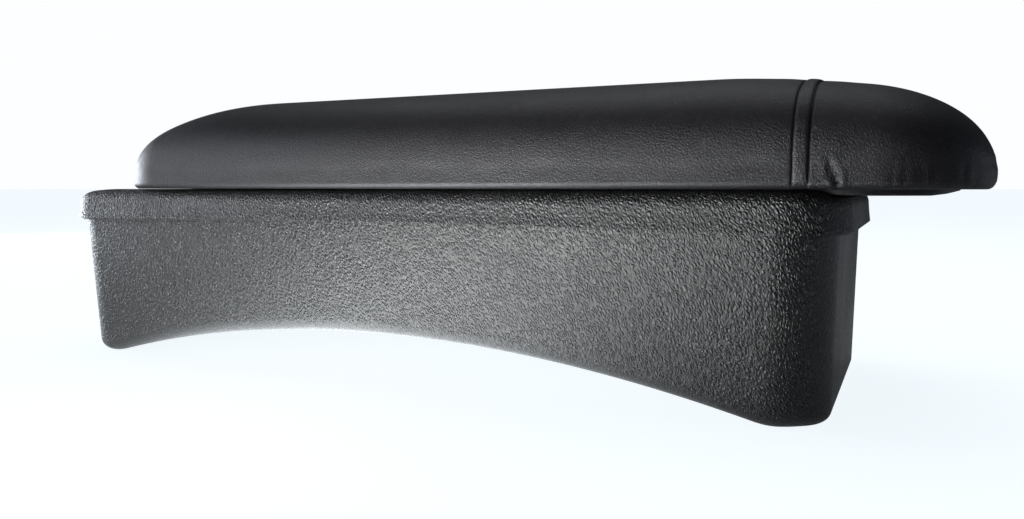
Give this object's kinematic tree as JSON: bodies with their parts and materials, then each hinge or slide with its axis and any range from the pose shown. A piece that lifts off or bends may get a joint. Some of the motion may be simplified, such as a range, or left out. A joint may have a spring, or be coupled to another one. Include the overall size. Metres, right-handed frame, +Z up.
{
  "type": "console armrest box",
  "caption": "Arched storage box with a hinged lid that carries a sliding leather-covered armrest pad.",
  "frame": {"origin": "midway between the floor screws, on the plane of the feet", "axes": "+X towards the front, the way the pad slides out; +Y to the left side; +Z up"},
  "size_m": [0.3514, 0.1284, 0.1031],
  "materials": {
    "grained_abs": "moulded leather grain",
    "rim_abs": "moulded leather grain",
    "liner_abs": "fine spark texture",
    "leather_black": "fine grained coated leather",
    "leather_band": "fine grained coated leather",
    "seal_rubber": "matt",
    "mat_rubber": "ribbed matt",
    "steel_zinc": "zinc plated",
    "steel_pin": "ground",
    "magnet_nickel": "nickel plated",
    "white_plastic": "natural acetal",
    "black_plastic": "moulded",
    "plywood": "sanded birch ply",
    "foam": "open cell foam"
  },
  "bodies": {
    "box": {"storage_box": "grained_abs", "mouth_seal": "seal_rubber", "floor_mat": "mat_rubber", "hinge_pin": "steel_pin", "pin_clips": "steel_zinc", "magnet_holder": "black_plastic", "catch_magnet": "magnet_nickel", "holder_screws": "steel_zinc"},
    "lid": {"lid_frame": "rim_abs", "knuckle_bushes": "white_plastic", "lid_liner": "liner_abs", "liner_screws": "steel_zinc", "strike_plate": "steel_zinc", "slide_rail_left": "steel_zinc", "slide_rail_right": "steel_zinc", "rail_screws": "steel_zinc", "stop_screw": "steel_zinc", "stop_sleeve": "seal_rubber", "detent_housing": "white_plastic", "detent_spring": "steel_pin"},
    "detent": {"detent_plunger": "white_plastic"},
    "pad": {"base_plate": "black_plastic", "slide_shoes_left": "white_plastic", "slide_shoes_right": "white_plastic", "shoe_screws": "steel_zinc", "board_screws": "steel_zinc", "pad_board": "plywood", "foam_core": "foam", "cover_main": "leather_black", "seam_band": "leather_band", "cover_front": "leather_black", "cover_staples": "steel_zinc"}
  },
  "joints": [
    {"name": "lid_hinge", "type": "hinge", "parent": "box", "child": "lid", "pos_m": [-0.1585, 0, 0.052], "axis": [0, -1, 0], "range_deg": [0, 95]},
    {"name": "pad_slide", "type": "slide", "parent": "lid", "child": "pad", "axis": [1, 0, 0], "range_m": [-0.026, 0.034]},
    {"name": "detent_press", "type": "slide", "parent": "lid", "child": "detent", "axis": [0, 0, -1], "range_m": [0, 0.0015], "stiffness_N_per_m": 900, "springref_m": -0.001, "deforming": ["detent_spring"]}
  ]
}
